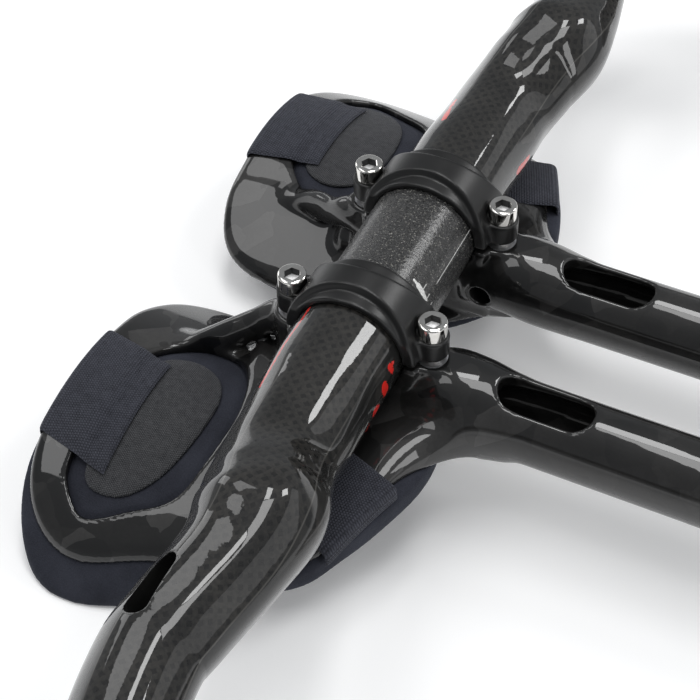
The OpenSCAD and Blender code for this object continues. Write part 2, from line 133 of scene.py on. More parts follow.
def closed_curve(rows, steps):
    p = np.array(rows, float)
    n = len(p)
    return np.array([curve_point(p[i - 1], p[i], p[(i + 1) % n], p[(i + 2) % n], k / steps)
                     for i in range(n) for k in range(steps)])


def headings(path):
    ahead = np.gradient(path[:, :3], axis=0)
    return ahead / np.linalg.norm(ahead, axis=1, keepdims=True)


def sideways(ahead):
    """Level directions square to the headings."""
    side = np.cross(ahead, [0, 0, 1])
    return side / np.linalg.norm(side, axis=-1, keepdims=True)


def run_length(points):
    """How far along the path each of its points lies."""
    return np.concatenate([[0], np.cumsum(np.linalg.norm(np.diff(points, axis=0), axis=1))])


# Meshes

def bands(count, around):
    """The faces between neighbouring rings that all hold the same number of points."""
    i = np.arange(count - 1)[:, None] * around
    j = np.arange(around)[None, :]
    k = (j + 1) % around
    return np.stack([i + j, i + k, i + around + k, i + around + j], 2).reshape(-1, 4)


def make_object(name, verts, faces, materials, smooth=True):
    mesh = bpy.data.meshes.new(name)
    mesh.from_pydata((np.asarray(verts) * MM).tolist(), [], [list(map(int, f)) for f in faces])
    mesh.update()
    if smooth:
        mesh.shade_smooth()
    obj = bpy.data.objects.new(name, mesh)
    bpy.context.scene.collection.objects.link(obj)
    for m in materials:
        mesh.materials.append(m)
    return obj


def store(obj, name, values):
    """Keeps a vector for each vertex, for the material to read."""
    layer = obj.data.attributes.new(name, "FLOAT_VECTOR", "POINT")
    layer.data.foreach_set("vector", np.asarray(values, np.float32).ravel())


def vertices(obj):
    out = np.empty(len(obj.data.vertices) * 3, np.float32)
    obj.data.vertices.foreach_get("co", out)
    return out.reshape(-1, 3) / MM


def mirrored(obj, name):
    """A copy of a right-hand piece for the left side."""
    mesh = obj.data.copy()
    mesh.name = name
    co = np.empty(len(mesh.vertices) * 3, np.float32)
    mesh.vertices.foreach_get("co", co)
    co = co.reshape(-1, 3)
    co[:, 1] *= -1
    mesh.vertices.foreach_set("co", co.ravel())
    mesh.flip_normals()
    mesh.update()
    copy = bpy.data.objects.new(name, mesh)
    bpy.context.scene.collection.objects.link(copy)
    return copy


# Solid shapes as distance fields on a grid, turned into smooth meshes

class Grid:
    def __init__(self, low, high, pitch):
        self.low = np.array(low, np.float32)
        self.pitch = pitch
        axes = [np.arange(low[i], high[i] + pitch, pitch, dtype=np.float32) for i in range(3)]
        self.x = axes[0][:, None, None]
        self.y = axes[1][None, :, None]
        self.z = axes[2][None, None, :]
        self.xs, self.ys = axes[0], axes[1]


def blend(a, b, k):
    """Both shapes joined, with the corner between them filled over a width k."""
    h = np.clip(0.5 + 0.5 * (b - a) / k, 0, 1)
    return b + (a - b) * h - k * h * (1 - h)


def carve(a, b, k):
    """Shape a without shape b, with an edge rounded by k."""
    return -blend(-a, b, k)


def round_meet(a, b, r):
    """Where two shapes overlap, with the edge rounded to radius r."""
    return np.minimum(np.maximum(a, b), -r) + np.hypot(np.maximum(a + r, 0), np.maximum(b + r, 0))


def ellipse(dy, dz, a, b):
    far = np.sqrt((dy / a) ** 2 + (dz / b) ** 2) + 1e-6
    return far * (far - 1) / (np.sqrt((dy / a ** 2) ** 2 + (dz / b ** 2) ** 2) + 1e-6)


def along_x(g, rows, steps=6, end_round=2.0):
    """A body with elliptic sections whose path runs along X. Rows hold x, y, z, half width, half height."""
    path = open_curve(sorted(rows), steps)
    x = np.clip(g.x, path[0, 0], path[-1, 0])
    y, z, a, b = (np.interp(x, path[:, 0], path[:, i]).astype(np.float32) for i in (1, 2, 3, 4))
    ends = np.maximum(path[0, 0] - g.x, g.x - path[-1, 0])
    return round_meet(ellipse(g.y - y, g.z - z, a, b), ends, end_round)


def swept(g, rows, steps=10):
    """A body with elliptic sections square to its path. Rows hold x, y, z, half width, half height."""
    path = open_curve(rows, steps)
    ahead = headings(path)
    side = sideways(ahead)
    up = np.cross(side, ahead)
    axes = (g.x, g.y, g.z)
    out = np.full([a.size for a in axes], 50, np.float32)
    for p, *frame_axes in zip(path, side, up, ahead):
        a, b = p[3], p[4]
        reach = max(a, b) + 7
        window = []
        for i in range(3):
            near = np.flatnonzero(np.abs(axes[i].ravel() - p[i]) < reach)
            window.append(slice(near[0], near[-1] + 1))
        window = tuple(window)
        dx, dy, dz = g.x[window[0]] - p[0], g.y[:, window[1]] - p[1], g.z[:, :, window[2]] - p[2]
        far = slope = 1e-9
        for direction, r in zip(frame_axes, (a, b, min(a, b))):
            d = dx * direction[0] + dy * direction[1] + dz * direction[2]
            far = far + (d / r) ** 2
            slope = slope + (d / r ** 2) ** 2
        far = np.sqrt(far)
        out[window] = np.minimum(out[window], far * (far - 1) / np.sqrt(slope))
    return out


def polygon_distance(g, outline):
    """Signed distance to a plan outline, for each column of the grid."""
    px, py = np.meshgrid(g.xs, g.ys, indexing="ij")
    best = np.full(px.shape, 1e9, np.float32)
    inside = np.zeros(px.shape, bool)
    for a, b in zip(outline, np.roll(outline, -1, axis=0)):
        ex, ey = b - a
        wx, wy = px - a[0], py - a[1]
        t = np.clip((wx * ex + wy * ey) / (ex * ex + ey * ey), 0, 1)
        best = np.minimum(best, (wx - ex * t) ** 2 + (wy - ey * t) ** 2)
        crosses = (a[1] > py) != (b[1] > py)
        with np.errstate(divide="ignore", invalid="ignore"):
            inside ^= crosses & (px < a[0] + (py - a[1]) * ex / ey)
    d = np.sqrt(best)
    return np.where(inside, -d, d)[:, :, None]


def sample(values, g, points):
    """Trilinear value of the field at points."""
    q = (points - g.low) / g.pitch
    top = np.array(values.shape) - 2
    i = np.clip(np.floor(q).astype(int), 0, top)
    f = q - i
    share = (1 - f, f)
    out = 0
    for dx in (0, 1):
        for dy in (0, 1):
            for dz in (0, 1):
                w = share[dx][:, 0] * share[dy][:, 1] * share[dz][:, 2]
                out = out + w * values[i[:, 0] + dx, i[:, 1] + dy, i[:, 2] + dz]
    return out


def soften(values):
    """Evens the field out between neighbours, so that edges don't step along the grid."""
    for axis in range(3):
        low, mid, high = ([slice(None)] * 3 for _ in range(3))
        low[axis], mid[axis], high[axis] = slice(0, -2), slice(1, -1), slice(2, None)
        inner = 0.25 * values[tuple(low)] + 0.5 * values[tuple(mid)] + 0.25 * values[tuple(high)]
        values[tuple(mid)] = inner
    return values


def skin_field(values, g, relax=3):
    """The surface where the field is zero, as vertices and quads."""
    values = soften(values)
    solid = values < 0
    nx, ny, nz = values.shape
    count = np.zeros((nx - 1, ny - 1, nz - 1), np.int8)
    for i in (0, 1):
        for j in (0, 1):
            for k in (0, 1):
                count += solid[i:nx - 1 + i, j:ny - 1 + j, k:nz - 1 + k]
    active = (count > 0) & (count < 8)
    index = np.full(active.shape, -1, np.int64)
    index[active] = np.arange(active.sum())
    cells = np.argwhere(active)
    total = np.zeros((len(cells), 3))
    hits = np.zeros(len(cells))
    for axis in range(3):
        for u in (0, 1):
            for v in (0, 1):
                a = np.zeros(3, int)
                a[(axis + 1) % 3] = u
                a[(axis + 2) % 3] = v
                b = a.copy()
                b[axis] = 1
                va = values[tuple((cells + a).T)]
                vb = values[tuple((cells + b).T)]
                cross = (va < 0) != (vb < 0)
                t = va[cross] / (va[cross] - vb[cross])
                total[cross] += a + t[:, None] * (b - a)
                hits[cross] += 1
    verts = g.low + g.pitch * (cells + total / hits[:, None])
    quads = []
    for axis in range(3):
        others = [(axis + 1) % 3, (axis + 2) % 3]
        e1, e2 = np.eye(3, dtype=int)[others]
        low = [slice(None)] * 3
        high = [slice(None)] * 3
        low[axis], high[axis] = slice(0, -1), slice(1, None)
        change = solid[tuple(low)] != solid[tuple(high)]
        p = np.argwhere(change)
        last = np.array(values.shape)[others] - 1
        p = p[((p[:, others] > 0) & (p[:, others] < last)).all(axis=1)]
        ring = np.stack([index[tuple((p - o).T)] for o in (e1 + e2, e2, 0 * e1, e1)], 1)
        inside_first = solid[tuple(p.T)]
        ring[~inside_first] = ring[~inside_first][:, ::-1]
        quads.append(ring)
    quads = np.concatenate(quads)
    edges = np.concatenate([quads[:, [0, 1]], quads[:, [1, 2]], quads[:, [2, 3]], quads[:, [3, 0]]])
    for step in range(relax + 1):
        for _ in range(2):
            here = sample(values, g, verts)
            slope = np.stack([sample(values, g, verts + d) - sample(values, g, verts - d)
                              for d in np.eye(3) * 0.5 * g.pitch], 1) / g.pitch
            size = np.maximum((slope ** 2).sum(1), 0.2)
            verts = verts - np.clip(here / size, -g.pitch, g.pitch)[:, None] * slope
        if step < relax:
            near = np.zeros_like(verts)
            degree = np.zeros(len(verts))
            np.add.at(near, edges[:, 0], verts[edges[:, 1]])
            np.add.at(near, edges[:, 1], verts[edges[:, 0]])
            np.add.at(degree, edges.ravel(), 1)
            verts = 0.5 * verts + 0.5 * near / degree[:, None]
    return verts, quads


# The arched arm cup

def cup(u, v):
    return [-CUP_REAR + u * (CUP_REAR + CUP_FRONT), CUP_INNER + v * (CUP_OUTER - CUP_INNER)]


def arch(y):
    return -CUP_DROP - CUP_FALL * ((y - CUP_MID) / (CUP_OUTER - CUP_MID)) ** 2


def arch_cos(y):
    return 1 / np.sqrt(1 + (2 * CUP_FALL * (y - CUP_MID) / (CUP_OUTER - CUP_MID) ** 2) ** 2)


def plan(rows, steps=5, scale_y=1.0):
    pts = closed_curve(rows, steps)
    return np.array([cup(u, v) for u, v in pts]) * [1, scale_y]


CUP_OUTLINE = [
    [0.955, 0.49], [0.935, 0.555], [0.9, 0.655], [0.86, 0.77], [0.79, 0.83], [0.69, 0.87], [0.55, 0.91],
    [0.41, 0.95], [0.27, 1.0], [0.17, 1.0], [0.08, 0.95], [0.02, 0.86], [-0.005, 0.73], [-0.008, 0.52],
    [0, 0.35], [0.005, 0.2], [0.05, 0.08], [0.13, 0.02], [0.25, 0], [0.4, 0.01], [0.62, 0.03],
    [0.78, 0.05], [0.9, 0.11], [1.04, 0.16], [1.15, 0.18], [1.16, 0.236], [1.1, 0.262], [1.055, 0.295],
    [1.015, 0.35], [0.98, 0.425]]
CUP_OPENING = [
    [0.115, 0.63], [0.12, 0.79], [0.145, 0.85], [0.2, 0.9], [0.25, 0.895], [0.33, 0.85], [0.43, 0.785],
    [0.465, 0.68], [0.48, 0.52], [0.465, 0.42], [0.435, 0.34], [0.385, 0.285], [0.32, 0.27],
    [0.25, 0.285], [0.17, 0.36], [0.125, 0.47]]
PAD_OUTLINE = [
    [1.0, 0.42], [0.978, 0.5], [0.94, 0.59], [0.895, 0.665], [0.84, 0.74], [0.76, 0.79], [0.6, 0.855],
    [0.4, 0.94], [0.24, 1.0], [0.15, 0.98], [0.07, 0.92], [0.015, 0.83], [-0.01, 0.72], [-0.006, 0.56],
    [-0.006, 0.38], [0, 0.22], [0.04, 0.11], [0.12, 0.055], [0.24, 0.03], [0.42, 0.03], [0.6, 0.035],
    [0.78, 0.07], [0.92, 0.165], [0.985, 0.25], [1.004, 0.335]]
PATCH_OUTLINE = [
    [0.17, 0.6], [0.16, 0.76], [0.19, 0.83], [0.27, 0.835], [0.33, 0.8], [0.38, 0.73], [0.41, 0.63],
    [0.42, 0.51], [0.405, 0.43], [0.36, 0.37], [0.28, 0.345], [0.2, 0.38], [0.17, 0.47]]


def arched_slab(g, outline_distance, low, high, top_round, bottom_round):
    lean = arch_cos(g.y)
    over = (g.z - arch(g.y) - high) * lean
    under = (arch(g.y) + low - g.z) * lean
    d = round_meet(outline_distance, over, top_round)
    return round_meet(d, under, bottom_round)


def placed(rows, from_x):
    """Rows that hold offsets from a point on the tube's axis."""
    return [[from_x + x, EXT_Y + y, z - EXT_DROP, a, b] for x, y, z, a, b in rows]


def tip_row(back):
    """A row on the straight end of the tube, some way back from its tip."""
    return [EXT_REACH - back, EXT_Y, TIP_Z + back * math.tan(TIP_ANGLE), EXT_R, EXT_R]


# Tube and root of an extension: x, y, z, half width, half height
EXTENSION_ROWS = [
    tip_row(-8), tip_row(0), tip_row(0.1 * EXT_REACH),
    [0.78 * EXT_REACH, EXT_Y, TIP_Z * 0.36 - EXT_DROP * 0.64, EXT_R, EXT_R],
    [0.64 * EXT_REACH, EXT_Y, TIP_Z * 0.12 - EXT_DROP * 0.88, EXT_R, EXT_R],
    [0.5 * EXT_REACH, EXT_Y, -EXT_DROP, ROOT_R, ROOT_R],
    [62, EXT_Y, -EXT_DROP, ROOT_R, ROOT_R]] + placed([
        [46, 0, 0.2, ROOT_R + 0.3, ROOT_R + 0.3],
        [35, 0, 1.3, ROOT_R + 1, ROOT_R + 1.1],
        [25, 0, 1.7, ROOT_R + 0.4, ROOT_R + 0.6],
        [12, 0, -2, ROOT_R - 1.5, ROOT_R - 2]], 0)


def tube_mesh():
    """The tube from TUBE_START to its tip, open at the end like the real one."""
    around = 96
    path = open_curve(sorted(EXTENSION_ROWS), 24)
    start = [np.interp(TUBE_START, path[:, 0], column) for column in path.T]
    path = np.vstack([start, path[(path[:, 0] > TUBE_START + 0.5) & (path[:, 0] <= EXT_REACH + 1e-6)]])
    ahead = headings(path)
    tip, heading = path[-1], ahead[-1]
    clear = (tip[:3] - path[:, :3]) @ heading > 1
    path, ahead = path[clear], ahead[clear]
    edge = 0.4
    plug = EXT_R - EXT_WALL + PLUG_REAM
    rows = [(p[:3], a, p[3]) for p, a in zip(path, ahead)]
    open_end = [
        (edge, EXT_R), (0.3 * edge, EXT_R - 0.3 * edge), (0, EXT_R - edge), (0, plug + edge),
        (0.3 * edge, plug + 0.3 * edge), (edge, plug), (PLUG_DEPTH, plug), (PLUG_DEPTH, EXT_R - EXT_WALL)]
    for back, r in open_end:
        rows.append((tip[:3] - back * heading, heading, r))
    inner = (tip[:3] - path[:, :3]) @ heading > PLUG_DEPTH + 1
    rows += [(p[:3], a, p[3] - EXT_WALL) for p, a in zip(path[inner][::-1], ahead[inner][::-1])]
    angle = 2 * np.pi * np.arange(around) / around
    rings = []
    for centre, along, r in rows:
        side = sideways(along)
        up = np.cross(side, along)
        rings.append(centre + r * (np.cos(angle)[:, None] * side + np.sin(angle)[:, None] * up))
    # The face at TUBE_START gets two rings of its own, so that its edges stay sharp
    rings = np.array(rings + [rings[-1], rings[0]])
    faces = bands(len(rings), around).reshape(-1, around, 4)
    faces = np.delete(faces, len(rings) - 3, axis=0)
    return rings.reshape(-1, 3), faces.reshape(-1, 4)


def from_bar(g):
    return np.hypot(g.x, g.z)


def from_screw(g, end):
    """Distance from the axis of the front screw, where end is 1, or of the rear one."""
    return np.hypot(g.x - end * BOLT_X, g.y - EXT_Y)


def extension_mesh():
    g = Grid([-80, 4, -51], [TUBE_START + 3, 112, 0.6], pitch=0.68)
    outline = polygon_distance(g, plan(CUP_OUTLINE))
    opening = polygon_distance(g, plan(CUP_OPENING))
    tube = along_x(g, EXTENSION_ROWS)
    tube = tube + 0.05 * np.clip(g.x - TUBE_START, 0, 1)
    shoulder = along_x(g, placed([
        [50, 5, -1, 4, 6],
        [38, 7, -2, 7, 8],
        [29, 11, -4, 11, 8],
        [20, 15, -5.5, 15, 7.5],
        [2, 15, -6.5, 16, 5.6],
        [-18, 11, -6.5, 13, 5.6],
        [-32, 4, -6, 7, 4.5]], 0), end_round=3)
    spar = swept(g, placed([
        [5, -1, 6.5, 6.5, 7],
        [-4, -1.5, 7.2, 4.8, 6],
        [-12, 0.5, 3, 3.6, 4.8],
        [-19, 4.5, -1, 3.5, 5.1],
        [-25, 8, -3.8, 4.2, 4],
        [-31, 11.5, -7, 6, 2.6]], -BOLT_X))
    slab = arched_slab(g, outline, 0, CUP_T, 3.2, 1)
    body = blend(tube, shoulder, 5)
    body = blend(body, slab, 7)
    body = blend(body, spar, 3)
    ring = round_meet(from_bar(g) - CLAMP_R - 4.2, np.abs(g.y - EXT_Y) - CAP_W / 2, 0.8)
    body = blend(body, ring, 2)
    for end in (-1, 1):
        boss = round_meet(from_screw(g, end) - FLANGE_D / 2 - 1.4, g.z + SPLIT, 0.5)
        boss = np.maximum(boss, arch(EXT_Y) - g.z)
        body = blend(body, boss, 2)
    filling = np.maximum(np.maximum(np.abs(g.x) - BOLT_X, np.abs(g.y - EXT_Y) - CAP_W / 2),
                         np.maximum(g.z + CLAMP_R - 3, arch(EXT_Y) - g.z))
    body = blend(body, filling, 1.5)
    port = np.hypot(g.x - BOLT_X + 1.5, g.z + EXT_DROP)
    rim = round_meet(port - PORT_D / 2 - PORT_RIM, EXT_Y - ROOT_R - 0.5 - g.y, 0.5)
    body = blend(body, np.maximum(rim, g.y - EXT_Y), 0.8)
    body = carve(body, from_bar(g) - CLAMP_R - 0.02, 0.3)
    body = carve(body, -SPLIT - g.z, 0.6)
    under = np.maximum((g.z - arch(g.y)) * arch_cos(g.y), g.x - CUP_FRONT - 10)
    body = carve(body, under, 0.8)
    body = carve(body, opening, 1.3)
    bore_r = ROOT_R - EXT_WALL - 0.4
    bore_from = 36
    widening = bore_r - 2 + (g.x - bore_from) * 0.1
    bore = np.hypot(g.y - EXT_Y, g.z + EXT_DROP) - np.minimum(bore_r, widening)
    body = carve(body, np.maximum(bore, bore_from - g.x), 0.5)
    body = np.maximum(body, g.x - TUBE_START - 1.5)
    half = (SLOT_L - SLOT_W) / 2
    slot = np.hypot(np.maximum(np.abs(g.x - SLOT_X) - half, 0), g.y - EXT_Y) - SLOT_W / 2
    slot = np.maximum(slot, -EXT_DROP - g.z)
    body = carve(body, slot, 0.7)
    body = carve(body, np.maximum(port - PORT_D / 2, g.y - EXT_Y + FLANGE_D / 2 + 0.5), 0.4)
    for end in (-1, 1):
        hole = from_screw(g, end) - INSERT_D / 2
        body = carve(body, np.maximum(hole, -SPLIT - INSERT_L - g.z), 0.3)
    verts, faces = skin_field(body, g)
    tube_verts, tube_faces = tube_mesh()
    return np.concatenate([verts, tube_verts]), np.concatenate([faces, tube_faces + len(verts)])


def cap_mesh():
    g = Grid([-29, EXT_Y - 10, -0.9], [29, EXT_Y + 10, 21], pitch=0.36)
    y = np.abs(g.y - EXT_Y)
    arc = round_meet(from_bar(g) - CAP_R, y - CAP_W / 2, 0.9)
    ears = None
    for end in (-1, 1):
        ear = round_meet(from_screw(g, end) - EAR_R, g.z - EAR_TOP, 0.5)
        ears = ear if ears is None else np.minimum(ears, ear)
    bridge = round_meet(np.maximum(np.abs(g.x) - BOLT_X, y - EAR_R), g.z - EAR_TOP, 0.5)
    body = blend(arc, np.minimum(ears, bridge), 1.6)
    from_z = EAR_TOP + 0.5
    slope = CRESCENT_W / (CAP_R - from_z)
    slant = (CAP_W / 2 - y - slope * (g.z - from_z)) / math.hypot(1, slope)
    crescent = np.maximum(np.maximum(slant, CLAMP_R + LIP_T - from_bar(g)), from_z - g.z)
    body = carve(body, crescent, 0.35)
    for end in (-1, 1):
        column = from_screw(g, end)
        body = carve(body, column - BOLT_D / 2 - BOLT_CLEARANCE, 0.3)
        body = carve(body, np.maximum(column - EAR_R, EAR_TOP - g.z), 0.3)
    body = carve(body, from_bar(g) - CLAMP_R - 0.02, 0.3)
    body = carve(body, g.z - 0.02, 0.5)
    return skin_field(body, g)


def pad_mesh():
    g = Grid([-80, -1, FLOOR_Z - 1.5], [34, 121, -17], pitch=0.9)
    outline = polygon_distance(g, plan(PAD_OUTLINE, scale_y=PAD_GROW))
    opening = polygon_distance(g, plan(CUP_OPENING))
    slab = arched_slab(g, outline, -PAD_T, PAD_RISE, 1.6, 3.2)
    bulge = arched_slab(g, opening + 0.6, -PAD_T / 2, PAD_BULGE, 1.5, 0.5)
    body = blend(slab, bulge, 0.8)
    body = round_meet(body, FLOOR_Z - g.z, 1.2)
    return skin_field(body, g)


def patch_mesh():
    g = Grid([-62, 36, -29], [-26, 93, -16], pitch=0.5)
    outline = polygon_distance(g, plan(PATCH_OUTLINE))
    return skin_field(arched_slab(g, outline, PAD_BULGE, PAD_BULGE + PATCH_T, 0.6, 0.2), g)


def bolt_mesh():
    """A socket head screw: rings from the end of its thread up over the head and down into the hexagon."""
    around = 72
    angle = 2 * np.pi * np.arange(around) / around
    sixth = math.pi / 3
    hexagon = SOCKET_AF / 2 / np.cos(angle % sixth - sixth / 2)
    low = -SPLIT - THREAD_REACH
    top = EAR_TOP + HEAD_H
    rings = [(low, 0.02 + 0 * angle)]
    for z in np.arange(low, 0.5, BOLT_PITCH / 8):
        turn = 2 * np.pi * z / BOLT_PITCH - angle
        depth = THREAD_DEPTH * np.clip(0.5 + 0.9 * np.cos(turn), 0, 1)
        rings.append((z, BOLT_D / 2 - depth))
    shank_r, head_r = BOLT_D / 2, HEAD_D / 2
    outside = [
        (0.6, shank_r), (EAR_TOP, shank_r), (EAR_TOP, head_r - 0.2), (EAR_TOP + 0.2, head_r),
        (top - 0.55, head_r), (top - 0.3, head_r - 0.07), (top - 0.1, head_r - 0.27), (top, head_r - 0.6)]
    rings += [(z, r + 0 * angle) for z, r in outside]
    rings += [(top, hexagon + 0.25), (top - 0.2, hexagon)]
    socket_from = len(rings) - 1
    rings += [(top - SOCKET_DEPTH, hexagon), (top - SOCKET_DEPTH - 0.3, 0.02 + 0 * angle)]
    verts = [[r * math.cos(a), r * math.sin(a), z] for z, ring in rings for r, a in zip(ring, angle)]
    faces = [tuple(q) for q in bands(len(rings), around)]
    last = (len(rings) - 1) * around
    faces.append(tuple(range(around))[::-1])
    faces.append(tuple(range(last, last + around)))
    # Material of each face: 0 on the outside, 1 on the socket's wall, which is steel painted dark as shade,
    # 2 on its floor, which is steel painted light
    parts = np.zeros(len(faces), np.int32)
    parts[socket_from * around:(socket_from + 1) * around] = 1
    parts[(socket_from + 1) * around:-2] = 2
    parts[-1] = 2
    return np.array(verts), faces, parts


# The base bar, swept from one horn to the other

FACET_POWER = 10
FACETS = [(92, 1.0), (40, 0.98), (-12, 1.0), (-60, 0.98), (-95, 1.0), (-140, 0.98), (172, 1.0), (140, 0.94)]


def facet_radius(angle, half_x, half_z):
    total = 0
    for facing, share in FACETS:
        f = math.radians(facing)
        reach = share * math.hypot(half_x * math.cos(f), half_z * math.sin(f))
        total = total + np.maximum(np.cos(angle - f) / reach, 0) ** FACET_POWER
    return total ** (-1 / FACET_POWER)


def bar_rows():
    half_x, half_z = WING_DEPTH / 2, WING_HEIGHT / 2
    grip_r = GRIP_D / 2
    bend_y = GRIP_Y - 52
    f, r, c = ELBOW_FORWARD, ELBOW_RISE, CLAMP_HALF
    return [
        [0, 0, 0, CLAMP_R, CLAMP_R, 0],
        [0, c - 18, 0, CLAMP_R, CLAMP_R, 0],
        [0, c - 6, 0, CLAMP_R, CLAMP_R, 0],
        [0, c + 3, 0, CLAMP_R, CLAMP_R, 0.1],
        [0.05 * f, c + 18, 0, CLAMP_R, CLAMP_R - 0.4, 0.8],
        [0.15 * f, c + 31, 0.12 * r, CLAMP_R, CLAMP_R - 0.8, 1],
        [0.55 * f, c + 43, 0.55 * r, half_x + 1.6, half_z + 3, 1],
        [1.0 * f, c + 54, 0.95 * r, half_x + 2.2, half_z + 2.4, 1],
        [1.05 * f, c + 68, r, half_x, half_z, 1],
        [0.65 * f, c + 88, 0.95 * r, half_x - 0.8, half_z, 1],
        [0.5 * f, bend_y, 0.9 * r, half_x - 1.2, half_z - 0.3, 0.9],
        [1.1 * f, bend_y + 22, 0.9 * r, half_x - 1.6, half_z - 0.4, 0.7],
        [f + 12, bend_y + 40, 0.9 * r, grip_r + 0.8, grip_r, 0.3],
        [f + 34, GRIP_Y - 2, 0.9 * r, grip_r, grip_r, 0],
        [f + 56, GRIP_Y, 0.9 * r, grip_r, grip_r, 0],
        [HORN_REACH, GRIP_Y, 0.9 * r, grip_r, grip_r, 0]]


def bar_mesh():
    around, steps = 144, 14
    path = open_curve(bar_rows(), steps)
    ahead = headings(path)
    side = sideways(ahead)
    angle = np.radians(-90) + 2 * np.pi * np.arange(around) / around
    rings = []
    for row, s in zip(path, side):
        smooth = row[3] * row[4] / np.hypot(row[4] * np.cos(angle), row[3] * np.sin(angle))
        r = smooth + (facet_radius(angle, row[3], row[4]) - smooth) * row[5]
        rings.append(row[:3] + (r * np.cos(angle))[:, None] * s + (r * np.sin(angle))[:, None] * [0, 0, 1])
    rings = np.array(rings)
    run = run_length(path[:, :3])
    step = np.linalg.norm(np.diff(rings, axis=1, append=rings[:, :1]), axis=2)
    around_mm = np.concatenate([np.zeros((len(rings), 1)), np.cumsum(step, axis=1)[:, :-1]], axis=1)
    around_mm -= around_mm[:, around // 2][:, None]
    wrap = np.stack([np.repeat(run[:, None], around, 1), around_mm, np.repeat(path[:, 5:6], around, 1)], 2)
    edge = 0.4
    rings[-1] -= [edge, 0, 0]
    tip = rings[-1] + [edge, 0, 0]
    centre = path[-1, :3]
    wall = BAR_WALL - PLUG_REAM
    for inward, back in ((edge, 0), (wall - edge, 0), (wall, edge), (wall, PLUG_DEPTH)):
        r = GRIP_D / 2 - inward
        ring = centre + (tip - centre) * (r / (GRIP_D / 2)) - [back, 0, 0]
        rings = np.concatenate([rings, ring[None]])
        wrap = np.concatenate([wrap, wrap[-1:]])
    left = rings[1:][::-1] * [1, -1, 1]
    left_wrap = wrap[1:][::-1] * [-1, 1, 1]
    rings = np.concatenate([left, rings])
    wrap = np.concatenate([left_wrap, wrap])
    m, n = rings.shape[:2]
    faces = [tuple(q) for q in bands(m, n)[:, ::-1]]
    faces.append(tuple(range(n)))
    faces.append(tuple(range((m - 1) * n, m * n))[::-1])
    return rings.reshape(-1, 3), faces, wrap.reshape(-1, 3)


def cut_ports(obj):
    """Cuts the two cable ports into the top of the wings."""
    radius, half = 3.4, 6
    deep, high = 3, 24
    tilt = math.radians(-32)
    for side in (-1, 1):
        t = np.linspace(0, 2 * math.pi, 49)[:-1]
        u = radius * np.cos(t)
        v = radius * np.sin(t) + np.where(np.sin(t) > 0, half, -half)
        verts = [[a, b, z] for z in (deep, high) for a, b in zip(u, v)]
        n = len(t)
        faces = [tuple(range(n))[::-1], tuple(range(n, 2 * n))] + [tuple(q) for q in bands(2, n)]
        tool = make_object("port_tool", verts, faces, [], smooth=False)
        centre = (0.65 * ELBOW_FORWARD * MM, side * (CLAMP_HALF + 87) * MM, 0.95 * ELBOW_RISE * MM)
        tool.matrix_world = Matrix.Translation(centre) @ Matrix.Rotation(tilt, 4, "Y")
        bpy.context.view_layer.update()
        cut = obj.modifiers.new("port", "BOOLEAN")
        cut.operation = "DIFFERENCE"
        cut.solver = "EXACT"
        cut.object = tool
        mesh = bpy.data.meshes.new_from_object(obj.evaluated_get(bpy.context.evaluated_depsgraph_get()))
        obj.modifiers.clear()
        obj.data = mesh
        bpy.data.objects.remove(tool)


# Straps, each a ribbon laid over the arch

def ribbon(path, width, at, run, lie, hem):
    path = open_curve(path, 8)
    ahead = headings(path)
    out = np.stack([-ahead[:, 1], ahead[:, 0]], 1)
    length = run_length(path)
    across = np.linspace(-0.5, 0.5, 61)
    along_dir = np.array([math.cos(math.radians(run)), math.sin(math.radians(run))])
    across_dir = np.array([-math.sin(math.radians(lie)), math.cos(math.radians(lie))])
    rings, coords = [], []
    total = length[-1]
    for p, o, s in zip(path, out, length):
        end = min(s, total - s)
        lip = math.sqrt(max(0.0, 1 - max(0.0, 1 - end / 0.6) ** 2)) * 0.9 + 0.1
        stitch = 0.22 * math.exp(-((total - s - hem) / 0.45) ** 2) if hem else 0
        ring, coord = [], []
        for half, thick in ((across, 0.0), (across[::-1], 1.0)):
            for c in half:
                e = math.sqrt(max(0.0, 1 - (abs(c) * 2) ** 24))
                level = STRAP_T * (0.5 + (thick - 0.5) * e * lip) - stitch * thick
                q = p + o * level
                xy = np.array(at) + q[0] * along_dir + c * width * across_dir
                ring.append([xy[0], xy[1], arch(xy[1]) + q[1]])
                coord.append([s, c * width, thick])
        rings.append(ring)
        coords.append(coord)
    rings, coords = np.array(rings), np.array(coords)
    m, n = rings.shape[:2]
    faces = [tuple(q) for q in bands(m, n)]
    count = n // 2
    for base, flip in ((0, False), ((m - 1) * n, True)):
        for a in range(count - 1):
            q = (base + a, base + n - 1 - a, base + n - 2 - a, base + a + 1)
            faces.append(q[::-1] if flip else q)
    return rings.reshape(-1, 3), faces, coords.reshape(-1, 3)


def rear_strap_mesh():
    over = CUP_T + STRAP_GAP
    landing = PAD_BULGE + PATCH_T + STRAP_GAP
    path = [[1.1, STRAP_GAP], [1.1, over - 0.8], [1.8, over], [4, over], [10, over], [14.6, over],
            [18, landing], [20, landing], [24.5, landing]]
    return ribbon(path, REAR_STRAP_W, cup(0, 0.55), 11, 1, 3.2)


def front_strap_mesh():
    over = CUP_T + STRAP_GAP
    path = [[-26, over], [-12, over], [-4, over], [-1.6, over], [-0.8, over - 0.8], [-0.6, STRAP_GAP]]
    return ribbon(path, FRONT_STRAP_W, cup(0.925, 0.66), 20, 22, 0)


# Materials

